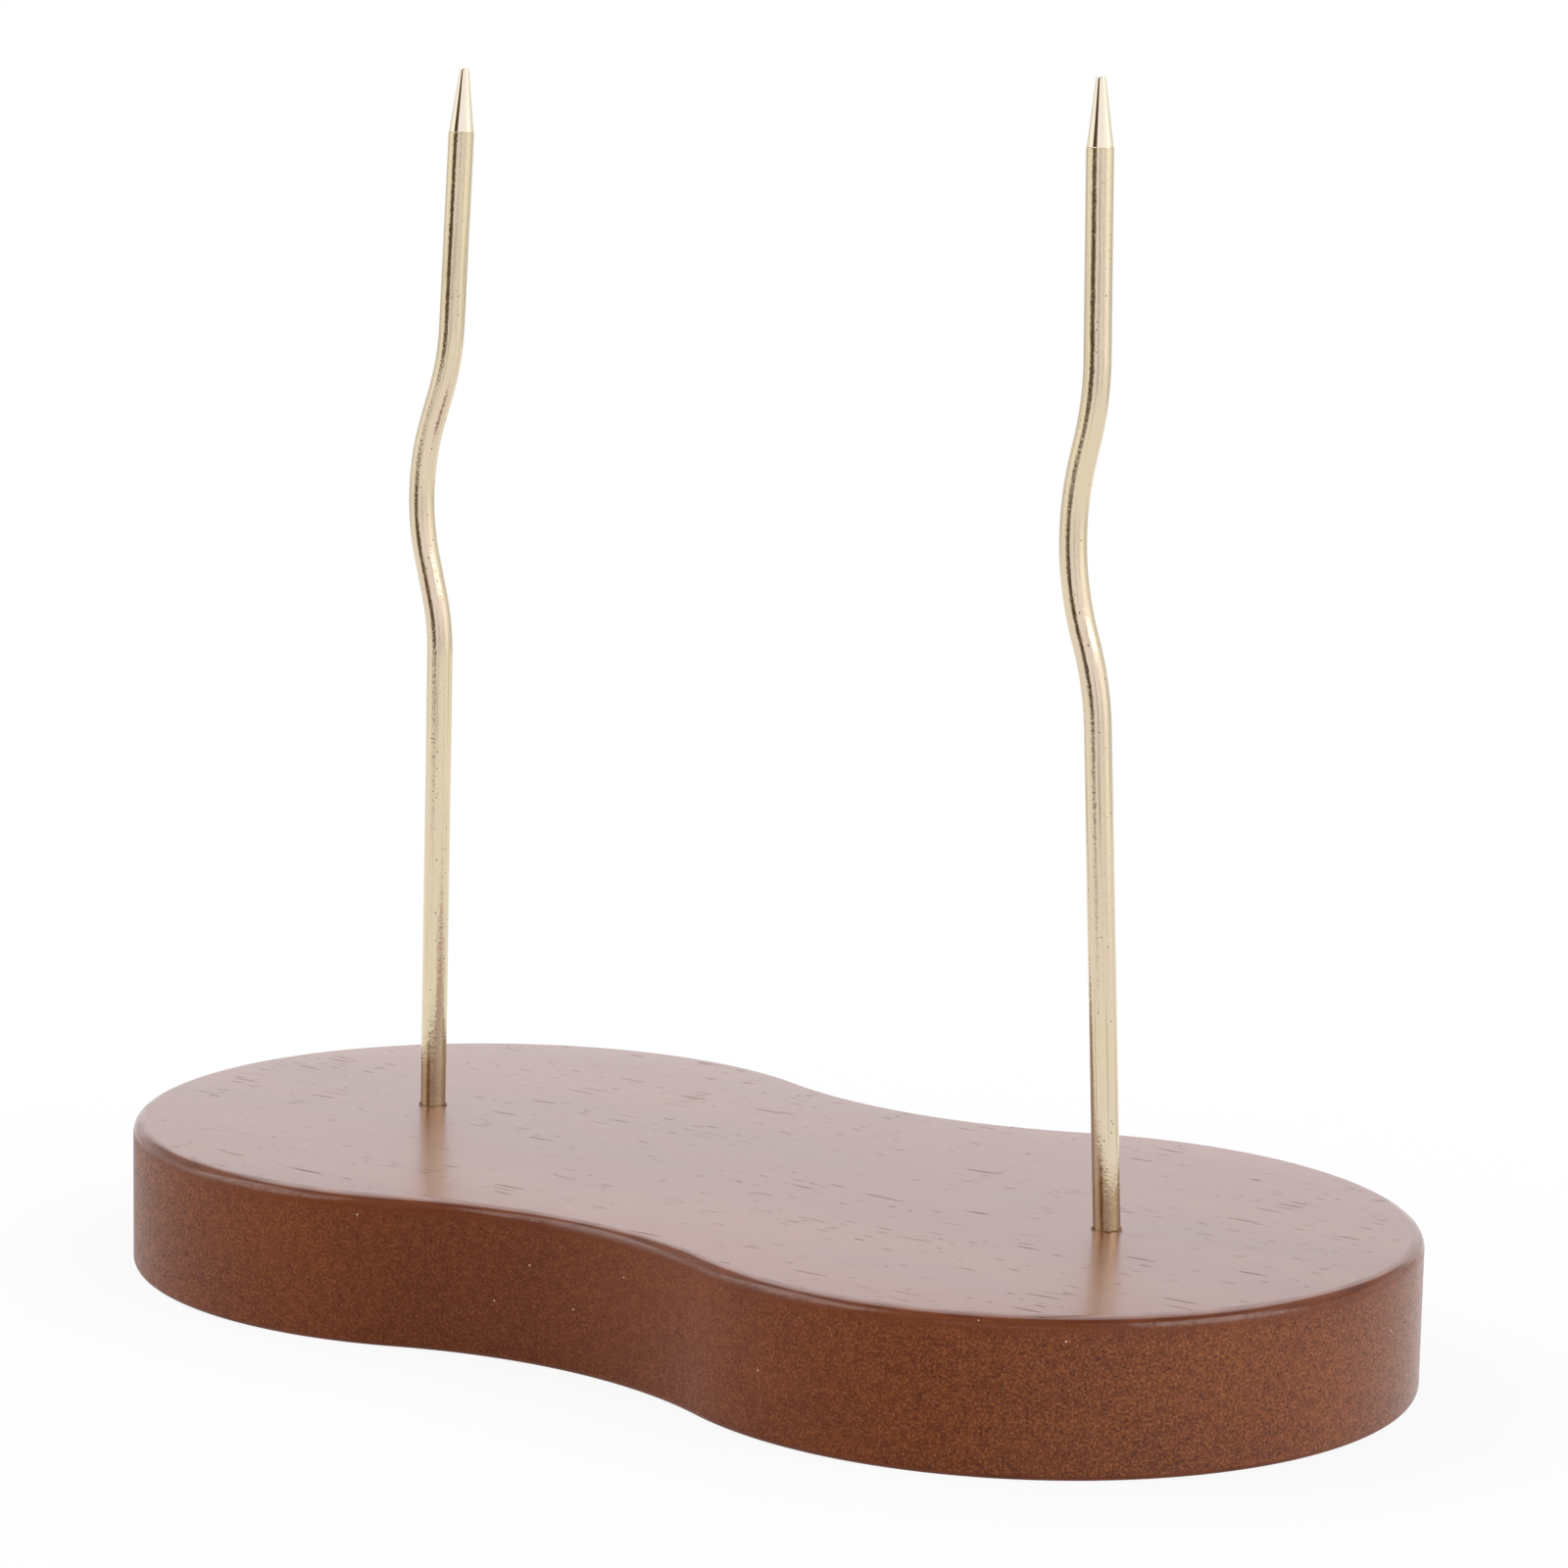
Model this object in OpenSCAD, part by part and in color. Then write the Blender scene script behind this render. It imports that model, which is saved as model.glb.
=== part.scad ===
// Bill spike: a waisted, veneered board that carries two bent and pointed rods.
// Sizes are in millimetres. +X runs along the board, +Z points up, and the origin
// is at the centre of the board's underside.

/* [Board] */
// Radius of each round end of the board
lobe_r = 45; // [35:0.5:60]
// Distance between the centres of the two round ends
lobe_spacing = 80; // [50:1:110]
// Radius of the hollow curve in each long side
waist_r = 54; // [30:1:120]
// Thickness of the finished board, both veneers included
board_t = 18; // [12:0.5:30]
// Radius of the rounded upper edge
top_edge_r = 1.5; // [0.5:0.1:4]
// Radius of the eased lower edge
bottom_edge_r = 0.8; // [0.4:0.1:4]
// Thickness of each veneer
veneer_t = 0.6; // [0.4:0.1:1.5]

/* [Spikes] */
// Distance between the feet of the two spikes
spike_spacing = 100; // [70:1:130]
// Diameter of the rod that both spikes are made of
rod_d = 3.2; // [2:0.1:5]
// Height of each spike's end above the board
spike_h = 130.2; // [120:0.1:200]
// Length of straight rod between the board and the first bend
lower_leg = 57.5; // [40:0.5:66]
// Length of the tapered point
point_l = 7.8; // [4:0.1:14]
// Diameter of the blunt end of the point
point_end_d = 1.1; // [0.4:0.1:1.8]

/* [Left spike] */
// Lean of the whole spike to the right, in degrees
left_lean_angle = 0.5; // [-5:0.1:5]
// Turn of the lowest bend, to the left, in degrees
left_out_angle = 15.5; // [5:0.5:25]
// Turn of the middle bend, to the right, in degrees
left_crest_angle = 34.5; // [10:0.5:45]
// Turn of the highest bend, to the left, in degrees
left_back_angle = 16.5; // [5:0.5:25]
// Radius of the bends, to the middle of the rod
left_bend_r = 29; // [8:0.5:36]
// Straight length between the lowest and the middle bend
left_out_leg = 4.5; // [1:0.5:10]
// Straight length between the middle and the highest bend
left_back_leg = 4; // [1:0.5:10]

/* [Right spike] */
// Lean of the whole spike to the right, in degrees
right_lean_angle = -3.2; // [-5:0.1:5]
// Turn of the lowest bend, to the left, in degrees
right_out_angle = 15; // [5:0.5:25]
// Turn of the middle bend, to the right, in degrees
right_crest_angle = 31.5; // [10:0.5:45]
// Turn of the highest bend, to the left, in degrees
right_back_angle = 14.5; // [5:0.5:25]
// Radius of the bends, to the middle of the rod
right_bend_r = 36; // [8:0.5:40]
// Straight length between the lowest and the middle bend
right_out_leg = 1.5; // [1:0.5:10]
// Straight length between the middle and the highest bend
right_back_leg = 2.5; // [1:0.5:10]

/* [Sockets] */
// Board left under the drill point of each socket
socket_floor = 5; // [2:0.5:8]
// Point angle of the drill that makes the sockets, in degrees
drill_angle = 118; // [90:1:140]
// Gap round the rod that the adhesive fills
glue_gap = 0.15; // [0.05:0.05:0.5]
// Depth of the adhesive's face below the mouth of the socket
glue_drop = 0.3; // [0.1:0.1:2]

/* [Hidden] */
$fn = 96;

// The hollow side's centre lies where its arc runs into both round ends, and it cuts
// a hair's breadth into them so that the two curves cross cleanly
waist_bite = 0.02;
// The rounded edge's arc is this much fuller than its corner, as sanding leaves it
edge_full = 0.02;
// Cuts run this far past the faces that they open
face_cut = 1;
lobe_x = lobe_spacing / 2;
waist_y = sqrt(pow(lobe_r + waist_r - waist_bite, 2) - pow(lobe_x, 2));

// A socket is a straight bore with the drill's own cone below it
socket_r = rod_d / 2 + glue_gap;
drill_tip_h = socket_r / tan(drill_angle / 2);
socket_depth = board_t - socket_floor - drill_tip_h;

// Bending spreads the rod a little, and the swelling runs past each end of a bend
bend_swell = 0.01;
bend_lap_l = 0.3;

left_angles = [-left_out_angle, left_crest_angle, -left_back_angle];
right_angles = [-right_out_angle, right_crest_angle, -right_back_angle];
left_legs = [socket_depth + lower_leg, left_out_leg, left_back_leg];
right_legs = [socket_depth + lower_leg, right_out_leg, right_back_leg];

board_colour = "#74412a";
veneer_colour = "#8c5440";
rod_colour = "#d8c690";
glue_colour = "#4a3324";

// Direction of each straight leg, in degrees from upright, positive to the right
function headings(lean, turns, i = 0) =
    i == len(turns) ? [lean] : concat([lean], headings(lean + turns[i], turns, i + 1));

// Height gained by the legs and bends below the last leg
function rise(legs, heads, bend_r, i = 0) =
    i == len(legs) ? 0 :
    legs[i] * cos(heads[i]) + bend_r * abs(sin(heads[i + 1]) - sin(heads[i])) + rise(legs, heads, bend_r, i + 1);

// Length of the last leg, which brings the end of the point to its height
function upper_leg(lean, turns, legs, bend_r) =
    let (heads = headings(lean, turns))
    let (top_z = spike_h + socket_depth * cos(lean))
    (top_z - rise(legs, heads, bend_r)) / cos(heads[len(turns)]) - point_l;

// Where a bend leaves the rod, from its start at the origin heading up
function bend_end(turn, bend_r) =
    [sign(turn) * bend_r * (1 - cos(turn)), 0, bend_r * sin(abs(turn))];

// What rounding takes off a lower edge whose corner is at the origin, with the board
// on the side of -X and +Y
module corner_waste(edge_r) {
    difference() {
        translate([-edge_r, -face_cut])
            square(edge_r + face_cut);
        translate([-edge_r, edge_r])
            circle(edge_r + edge_full);
    }
}

// What rounding takes off both edges of a side that stands at X = 0
module edge_waste() {
    corner_waste(bottom_edge_r);
    translate([0, board_t])
        mirror([0, 1])
            corner_waste(top_edge_r);
}

// Half section of one round end, with both edges rounded
module lobe_profile() {
    difference() {
        square([lobe_r, board_t]);
        translate([lobe_r, 0])
            edge_waste();
    }
}

// Half section of the round cutter that hollows a long side and rounds its edges
module waist_profile() {
    translate([0, -face_cut])
        square([waist_r, board_t + 2 * face_cut]);
    translate([waist_r, 0])
        mirror([1, 0])
            edge_waste();
}

// One round end, between two heights
module lobe(z_low, z_high) {
    rotate_extrude()
        intersection() {
            lobe_profile();
            translate([0, z_low])
                square([lobe_r, z_high - z_low]);
        }
}

// The waist between the round ends: a rhombus with its corners at the four centres,
// hollowed on both long sides
module waist(z_low, z_high) {
    difference() {
        translate([0, 0, z_low])
            linear_extrude(z_high - z_low)
                polygon([[-lobe_x, 0], [0, -waist_y], [lobe_x, 0], [0, waist_y]]);
        for (side = [-1, 1])
            translate([0, side * waist_y, 0])
                rotate_extrude()
                    waist_profile();
    }
}

// One layer of the board, between two heights
module board_layer(z_low, z_high) {
    for (side = [-1, 1])
        translate([side * lobe_x, 0, 0])
            lobe(z_low, z_high);
    waist(z_low, z_high);
}

// Places a spike's own frame, with its foot on the board and its rod along Z
module at_foot(x, lean) {
    translate([x, 0, board_t])
        rotate([0, lean, 0])
            children();
}

module at_left_foot() {
    at_foot(-spike_spacing / 2, left_lean_angle)
        children();
}

module at_right_foot() {
    at_foot(spike_spacing / 2, right_lean_angle)
        children();
}

// The drilled socket, from its drill point to a height above its mouth
module socket(above) {
    rotate_extrude()
        polygon([[0, -socket_depth - drill_tip_h], [socket_r, -socket_depth], [socket_r, above], [0, above]]);
}

module both_sockets() {
    at_left_foot()
        socket(face_cut);
    at_right_foot()
        socket(face_cut);
}

// A bend that starts at the origin heading up, and turns to the right where positive
module bend(turn, bend_r) {
    lap_angle = bend_lap_l / bend_r * 180 / PI;
    mirror([turn > 0 ? 1 : 0, 0, 0])
        translate([-bend_r, 0, 0])
            rotate([90, 0, 0])
                rotate([0, 0, -lap_angle])
                    rotate_extrude(angle = abs(turn) + 2 * lap_angle)
                        translate([bend_r, 0])
                            circle(r = rod_d / 2 + bend_swell);
}

// The last leg and the point that is turned on its end
module pointed_leg(leg) {
    rotate_extrude()
        polygon([[0, 0], [rod_d / 2, 0], [rod_d / 2, leg], [point_end_d / 2, leg + point_l], [0, leg + point_l]]);
}

// Straight legs and the bends between them, carried on from each other, then the point
module bent_rod(legs, turns, bend_r, i = 0) {
    if (i == len(turns)) {
        pointed_leg(legs[i]);
    } else {
        cylinder(d = rod_d, h = legs[i]);
        translate([0, 0, legs[i]]) {
            bend(turns[i], bend_r);
            translate(bend_end(turns[i], bend_r))
                rotate([0, turns[i], 0])
                    bent_rod(legs, turns, bend_r, i + 1);
        }
    }
}

// A whole spike in its own frame, from the bottom of its socket
module spike(lean, turns, legs, bend_r) {
    translate([0, 0, -socket_depth])
        bent_rod(concat(legs, upper_leg(lean, turns, legs, bend_r)), turns, bend_r);
}

// Cured adhesive: the socket's space, less the rod
module socket_glue() {
    difference() {
        socket(-glue_drop);
        translate([0, 0, -socket_depth])
            cylinder(d = rod_d, h = socket_depth + face_cut);
    }
}

// Fibreboard core with the two blind sockets
module board_core() {
    color(board_colour)
        difference() {
            board_layer(veneer_t, board_t - veneer_t);
            both_sockets();
        }
}

// Face veneer, drilled through with the core
module top_veneer() {
    color(veneer_colour)
        difference() {
            board_layer(board_t - veneer_t, board_t);
            both_sockets();
        }
}

// Balancing veneer, which the board stands on
module bottom_veneer() {
    color(veneer_colour)
        board_layer(0, veneer_t);
}

module left_spike() {
    color(rod_colour)
        at_left_foot()
            spike(left_lean_angle, left_angles, left_legs, left_bend_r);
}

module right_spike() {
    color(rod_colour)
        at_right_foot()
            spike(right_lean_angle, right_angles, right_legs, right_bend_r);
}

module left_socket_glue() {
    color(glue_colour)
        at_left_foot()
            socket_glue();
}

module right_socket_glue() {
    color(glue_colour)
        at_right_foot()
            socket_glue();
}

board_core();
top_veneer();
bottom_veneer();
left_spike();
right_spike();
left_socket_glue();
right_socket_glue();
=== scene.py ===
"""Bill spike: a waisted, veneered board with two bent and pointed rods glued into it.

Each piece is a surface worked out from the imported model's frame, in metres, with +X along
the board, +Z up and the origin at the middle of the underside.
"""
from functools import reduce
from math import atan2, cos, pi, radians, sin, sqrt, tan

import bmesh
import bpy
import numpy as np
from bpy.props import FloatProperty, FloatVectorProperty, PointerProperty
from mathutils import Matrix, Vector


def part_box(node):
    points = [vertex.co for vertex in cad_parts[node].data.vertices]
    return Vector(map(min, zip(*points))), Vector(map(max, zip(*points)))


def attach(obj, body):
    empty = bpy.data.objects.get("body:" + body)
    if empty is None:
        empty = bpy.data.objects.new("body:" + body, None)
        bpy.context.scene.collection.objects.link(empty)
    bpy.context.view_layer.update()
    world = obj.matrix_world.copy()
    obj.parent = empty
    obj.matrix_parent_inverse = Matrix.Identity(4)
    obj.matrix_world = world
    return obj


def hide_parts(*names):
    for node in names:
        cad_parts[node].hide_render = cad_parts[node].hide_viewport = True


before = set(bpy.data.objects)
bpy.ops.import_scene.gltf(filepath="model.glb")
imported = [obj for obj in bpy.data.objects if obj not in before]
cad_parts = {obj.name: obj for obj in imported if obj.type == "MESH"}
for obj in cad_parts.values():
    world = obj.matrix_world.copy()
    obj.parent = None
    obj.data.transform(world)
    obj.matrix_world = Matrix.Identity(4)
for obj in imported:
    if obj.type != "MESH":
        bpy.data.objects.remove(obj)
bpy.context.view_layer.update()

bl_info = {
    "name": "Bill spike",
    "version": (1, 0, 0),
    "blender": (4, 5, 0),
    "location": "3D View > Sidebar > Bill Spike",
    "description": "Builds a bill spike with two bent rods on a waisted wooden board",
    "category": "Add Mesh",
}

MM = 0.001
TO_DEGREES = 180 / pi
# The one body that every piece rides on
BODY = "root"
# Points closer than this are one point
WELD = 1e-6
# Edges that turn by more than this stay crisp
CRISP = radians(35)

# Waves of the hand-sanded upper edge: share, waves to the outline, and phase in radians
EDGE_WAVES = ((0.6, 3, 0.8), (0.4, 7, 2.1))
# Rows of points on the core's rounded edge, upright side and eased edge, and on the veneers' rims
ROUND_ROWS, WALL_ROWS, EASED_ROWS = 14, 10, 6
FACE_RIM_ROWS, LOWER_RIM_ROWS = 12, 8
# Rows of a flat face, as shares of the way from its hole to its edge, and points on its middle line
FACE_SHARES = (0, 0.004, 0.012, 0.03, 0.08, 0.2, 0.45, 0.75, 1)
MIDDLE_POINTS = 60
# Half the point angle of the drill that made the sockets
DRILL_HALF_ANGLE = radians(59)
# Sides of the rod, rings on its point, and steps of its middle line from ring to ring
ROD_SIDES, POINT_RINGS, LINE_STEPS = 64, 24, 16
# Beads of adhesive that were squeezed up round the rod: angle and half width in radians, and
# height in millimetres
ADHESIVE_BEADS = (
    (0.35, 0.16, 0.36), (2.3, 0.25, 0.2), (3.95, 0.16, 0.4), (4.6, 0.2, 0.06), (5.3, 0.13, 0.18))
# The adhesive's sides and the rows of its lip
GLUE_SIDES, LIP_ROWS = 96, 9
# The lip between beads, in millimetres below the board, its height at the socket's wall as a share
# of that at the rod, how far a bead spreads as a share of its height, and the crown as a share of
# the gap
LIP_DROP, LIP_WALL, LIP_SPREAD, LIP_CROWN = 0.03, 0.35, 0.7, 0.3

# Pores of the veneer: cells to the metre along and across the grain, reach of a pore in its cell,
# and the share of cells that hold one where pores crowd
PORE_LAYERS = (((80, 900, 1), 0.2, 0.16), ((190, 1300, 1), 0.2, 0.16), ((420, 1700, 1), 0.2, 0.1))
# Directions in which fibres lie in the edge of the fibreboard, in radians
FIBRE_TURNS = (0.25, 1.25, 2.3)

# The floor's rings and sides
FLOOR_RINGS, FLOOR_SIDES = 12, 96
# Share of the object's shadow that the floor shows, where it begins to fade, and where it has gone,
# as a share of the floor's radius
SHADOW_SHARE, SHADOW_NEAR, SHADOW_FAR = 0.1, 0.08, 0.3
# Dim streak of the floor that the rods mirror, a painted reflection of the tent's dark opening:
# its direction, its half width without and with its soft rim, where it begins and is darkest, and
# how dark that is
STREAK_HEADING, STREAK_CORE, STREAK_RIM = radians(-3), radians(5), radians(11)
STREAK_NEAR, STREAK_FAR, STREAK_DEPTH = 0.2, 0.75, 0.75

# Patches of the tent: direction from the front towards +X, half width, lower edge, upper edge and
# soft rim, all in degrees, and then strength. These light the object
LIT_BACK = (215, 100, -90, 46, 14, 1.02)
LIT_RIGHT = (94, 34, -30, 56, 16, 2.0)
LIT_LEFT = (-72, 36, -30, 56, 16, 1.9)
# Patches that the rods mirror: a glow and seams in the low ring, the dark opening and the slit
# through its bars, and the boxes
RING_GLOW = (106, 14, -6, 30, 10, 0.18)
RING_SEAMS = (
    (41, 4, -90, 6, 5, 0.5), (76, 5, -90, 8, 5, 0.3), (160, 18, -90, 24, 5, 0.38),
    (-96, 18, -90, 24, 5, 0.38))
OPENING = (-13, 18, -40, 22, 6, 1.0)
SLIT = (-8, 14, -90, 90, 10, 0.62)
BACK_BOX = (210, 30, 0, 50, 14, 1.0)
RIGHT_BOX = (92, 28, 18, 50, 12, 2.8)
LEFT_BOX = (-46, 28, 18, 50, 10, 2.3)
# Patches that are mirrored in a hue of their own
FRONT_TINT, FRONT_HUE = (26, 42, -90, 30, 30, 1.0), (0.93, 0.92, 1)
BACK_TINT, BACK_HUE = (215, 60, -10, 100, 30, 1.0), (0.975, 0.975, 1)
OPENING_HUE = (1, 0.7, 0.42)
# Strength of the tent's front as light and as mirrored, and how much less each is overhead
LIT_FRONT, LIT_DIP = 0.34, 0.2
SHOWN_FRONT, SHOWN_DIP = 0.3, 0.15
# Strength of the low ring, what it gains above the horizon, and the share that the opening takes
RING, RING_GAIN, OPENING_DEPTH = 0.68, 0.12, 0.91
# Strength of the box behind, what it gains towards its top, and the strength of the box overhead
BACK_STRENGTH, BACK_GAIN, OVERHEAD_STRENGTH = 1.26, 1.2, 3.0
# Direction and height of the middle of the box overhead, and the cosines at its outer and inner rim
OVERHEAD_AZIMUTH, OVERHEAD_RISE = radians(215), radians(62)
OVERHEAD_RIM = (0.865, 0.92)


def length(name, description, default):
    """A size in metres that a user can change."""
    return FloatProperty(
        name=name, description=description, default=default, min=0, unit="LENGTH", precision=4)


def angle(name, description, degrees):
    """An angle that a user can change."""
    return FloatProperty(
        name=name, description=description, default=radians(degrees), subtype="ANGLE")


def level(name, description, default):
    """A plain number that a user can change."""
    return FloatProperty(name=name, description=description, default=default, min=0)


def tint(name, description, default):
    """A colour that a user can change, in linear light."""
    return FloatVectorProperty(
        name=name, description=description, default=default, size=3, min=0, max=1, subtype="COLOR")


# Sizes and finishes

class BoardSizes(bpy.types.PropertyGroup):
    """The waisted board and its two veneers."""
    lobe_r: length("Lobe radius", "Radius of each round end", 45 * MM)
    lobe_spacing: length("Lobe spacing", "Distance between the centres of the round ends", 80 * MM)
    waist_r: length("Waist radius", "Radius of the hollow in each long side", 54 * MM)
    top_edge: length("Top edge", "Radius of the rounded upper edge", 1.5 * MM)
    bottom_edge: length("Bottom edge", "Radius of the eased lower edge", 0.8 * MM)
    edge_waver: level(
        "Edge waver", "How far hand sanding lets the upper edge's radius waver, as a share", 0.12)
    outline_step: length("Outline step", "Distance between points along the outline", 0.6 * MM)


class SpikeSizes(bpy.types.PropertyGroup):
    """What both spikes have in common."""
    rod_r: length("Rod radius", "Radius of the rod", 1.6 * MM)
    spacing: length("Spacing", "Distance between the feet of the two spikes", 100 * MM)
    lower_leg: length("Lower leg", "Straight rod between the board and the first bend", 57.5 * MM)
    point_l: length("Point length", "Length of the tapered point", 7.8 * MM)
    point_end_r: length("Point end radius", "Radius of the blunt end of the point", 0.55 * MM)
    shoulder: length("Shoulder", "Step that turning leaves where the point begins", 0.03 * MM)
    ring_step: length("Ring step", "Distance between rings along the rod", 0.35 * MM)
    socket_gap: length("Socket gap", "Gap round the rod that the adhesive fills", 0.15 * MM)


def bend_properties(lean, out_turn, crest_turn, back_turn, bend_r, out_leg, back_leg):
    """The properties of one spike's bends, with that spike's own defaults in degrees and
    millimetres."""
    return {
        "lean": angle("Lean", "Lean of the whole spike towards +X", lean),
        "out_turn": angle("Out turn", "Turn of the lowest bend, towards -X", out_turn),
        "crest_turn": angle("Crest turn", "Turn of the middle bend, towards +X", crest_turn),
        "back_turn": angle("Back turn", "Turn of the highest bend, towards -X", back_turn),
        "bend_r": length(
            "Bend radius", "Radius of the bends, to the middle of the rod", bend_r * MM),
        "out_leg": length(
            "Out leg", "Straight rod between the lowest and the middle bend", out_leg * MM),
        "back_leg": length(
            "Back leg", "Straight rod between the middle and the highest bend", back_leg * MM),
    }


class LeftBends(bpy.types.PropertyGroup):
    """The bends of the spike at -X."""
    __annotations__ = bend_properties(0.5, 15.5, 34.5, 16.5, 29, 4.5, 4)


class RightBends(bpy.types.PropertyGroup):
    """The bends of the spike at +X."""
    __annotations__ = bend_properties(-3.2, 15, 31.5, 14.5, 36, 1.5, 2.5)


class Finish(bpy.types.PropertyGroup):
    """The colours of the stain, the plating, the adhesive and the floor."""
    stain: tint("Stain", "Stained wood where it took little colour", (0.190, 0.044, 0.009))
    deep_stain: tint(
        "Deep stain", "Stained wood where it took the most colour", (0.128, 0.026, 0.006))
    # Colour of the veneer's open pores, and also the painted shade of the adhesive down in the
    # sockets' gaps
    pore_and_gap_shade: tint("Pore", "Open pores of the veneer", (0.030, 0.009, 0.005))
    fibre: tint("Fibre", "Pale fibres in the edge of the fibreboard", (0.33, 0.115, 0.036))
    # Colour of painted glints: pale specks on the fibreboard and on the peaks of the adhesive's
    # beads
    painted_glint: tint("Fibre end", "Bare ends of fibres that took no stain", (0.75, 0.62, 0.5))
    dark_fibre: tint(
        "Dark fibre", "Dark grains in the edge of the fibreboard", (0.050, 0.012, 0.005))
    plating: tint("Plating", "Pale gold plating of the rods", (0.77, 0.67, 0.43))
    rose_plating: tint("Rose plating", "Plating where it is thin and redder", (0.74, 0.61, 0.46))
    turned_plating: tint(
        "Turned plating", "Plating on the smooth turned points", (0.88, 0.78, 0.62))
    # Colour of a painted reflection of the stained board in the plating near the rods' feet
    board_reflection_plating: tint(
        "Foot plating", "Plating near the board, browned by stain and adhesive", (0.58, 0.43, 0.25))
    tarnish: tint("Tarnish", "Dark bottoms of the pits in the plating", (0.16, 0.11, 0.05))
    adhesive: tint("Adhesive", "Cured adhesive in the sockets", (0.42, 0.27, 0.14))
    floor: tint("Floor", "Pale floor", (0.86, 0.86, 0.86))


class Studio(bpy.types.PropertyGroup):
    """The camera and the floor."""
    azimuth: angle(
        "Camera azimuth", "Direction of the camera round the object, from -Y towards +X", 35.128)
    elevation: angle("Camera elevation", "Height of the camera above the horizon", 8.531)
    roll: angle("Camera roll", "Turn of the camera about its own view", 1.146)
    distance: length(
        "Camera distance", "Distance from the camera to the point it aims at", 0.52965)
    aim_x: length("Aim along", "How far along the board the camera aims", 3.593 * MM)
    aim_z: length("Aim height", "Height that the camera aims at", 64.669 * MM)
    focal_pixels: level(
        "Focal length in pixels", "Focal length measured in pixels of the square picture", 4546.9)
    picture_pixels: level("Picture size in pixels", "Width of the square picture", 1600)
    floor_r: length("Floor radius", "Radius of the pale round floor", 0.66)


class BillSpike(bpy.types.PropertyGroup):
    """All the settings of the bill spike."""
    board: PointerProperty(type=BoardSizes)
    spikes: PointerProperty(type=SpikeSizes)
    left: PointerProperty(type=LeftBends)
    right: PointerProperty(type=RightBends)
    finish: PointerProperty(type=Finish)
    studio: PointerProperty(type=Studio)


# Meshes from grids of points

def grid_faces(rows, columns):
    """Quads of a grid, as four point numbers each: every cell takes its corner, the next one
    along the row, and the two above them in the next row."""
    corner = np.arange(rows - 1)[:, None] * columns + np.arange(columns - 1)
    return np.stack([corner, corner + 1, corner + columns + 1, corner + columns], -1).reshape(-1, 4)


def new_piece(name, patches, material, rim=None):
    """A closed piece from grid patches, each an array of points by row and column with the
    surface's own lengths as UV. Points that coincide are welded, which closes seams and poles.
    A rim material, where there is one, covers the first patch."""
    points = np.concatenate([p.reshape(-1, 3) for p, _ in patches])
    uv = np.concatenate([t.reshape(-1, 2) for _, t in patches])
    starts = np.cumsum([0] + [p.shape[0] * p.shape[1] for p, _ in patches[:-1]])
    faces = np.concatenate([grid_faces(*p.shape[:2]) + s for (p, _), s in zip(patches, starts)])
    mesh = bpy.data.meshes.new(name)
    mesh.from_pydata(points.tolist(), [], faces.tolist())
    corners = np.empty(len(mesh.loops), np.int32)
    mesh.loops.foreach_get("vertex_index", corners)
    run = mesh.uv_layers.new(name="run")
    run.data.foreach_set("uv", uv[corners].astype(np.float32).ravel())
    if rim:
        first = patches[0][0]
        rim_faces = np.arange(len(faces)) < (first.shape[0] - 1) * (first.shape[1] - 1)
        mesh.polygons.foreach_set("material_index", rim_faces.astype(np.int32))
    shell = bmesh.new()
    shell.from_mesh(mesh)
    bmesh.ops.remove_doubles(shell, verts=shell.verts, dist=WELD)
    bmesh.ops.recalc_face_normals(shell, faces=shell.faces)
    shell.to_mesh(mesh)
    shell.free()
    mesh.polygons.foreach_set("use_smooth", np.ones(len(mesh.polygons), bool))
    mesh.set_sharp_from_angle(angle=CRISP)
    for part in (material, rim) if rim else (material,):
        mesh.materials.append(part)
    piece = bpy.data.objects.new(name, mesh)
    bpy.context.scene.collection.objects.link(piece)
    return piece


def stand_for(piece, node):
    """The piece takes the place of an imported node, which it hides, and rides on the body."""
    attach(piece, BODY)
    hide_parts(node)


def flat_uv(points):
    """UV of a flat patch: its own X and Y."""
    return points[..., :2].copy()


# The board's surfaces

class Outline:
    """The board's outline from above: six arcs that run into each other, from the middle of the
    back waist anticlockwise. An inset shrinks the round ends and widens the hollows, which keeps
    the arcs tangent, so a point is its arc's centre plus (radius + sense * inset) along its
    angle."""

    def __init__(self, board):
        half = board.lobe_spacing / 2
        waist_y = sqrt((board.lobe_r + board.waist_r) ** 2 - half ** 2)
        swing = atan2(half, waist_y)
        meet = pi / 2 - swing
        arcs = [
            ((0, waist_y), board.waist_r, 1, -pi / 2, -pi / 2 - swing),
            ((-half, 0), board.lobe_r, -1, meet, 2 * pi - meet),
            ((0, -waist_y), board.waist_r, 1, pi / 2 + swing, pi / 2),
            ((0, -waist_y), board.waist_r, 1, pi / 2, pi / 2 - swing),
            ((half, 0), board.lobe_r, -1, meet - pi, pi - meet),
            ((0, waist_y), board.waist_r, 1, -pi / 2 + swing, -pi / 2),
        ]
        columns = []
        for (x, y), radius, sense, start, end in arcs:
            count = max(2, round(abs(end - start) * radius / board.outline_step))
            turn = np.linspace(start, end, count, endpoint=False)
            ones = np.ones(count)
            columns.append(np.stack([x * ones, y * ones, radius * ones, sense * ones, turn], -1))
        table = np.concatenate(columns + [columns[0][:1]])
        self.x, self.y, self.radius, self.sense, self.turn = table.T
        self.middle = len(table) // 2
        x, y = self.at(0)
        self.run = np.append(0, np.cumsum(np.hypot(np.diff(x), np.diff(y))))

    def at(self, inset):
        """X and Y of every outline point at an inset, which may be an array of rows."""
        reach = self.radius + self.sense * inset
        return self.x + reach * np.cos(self.turn), self.y + reach * np.sin(self.turn)


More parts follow.
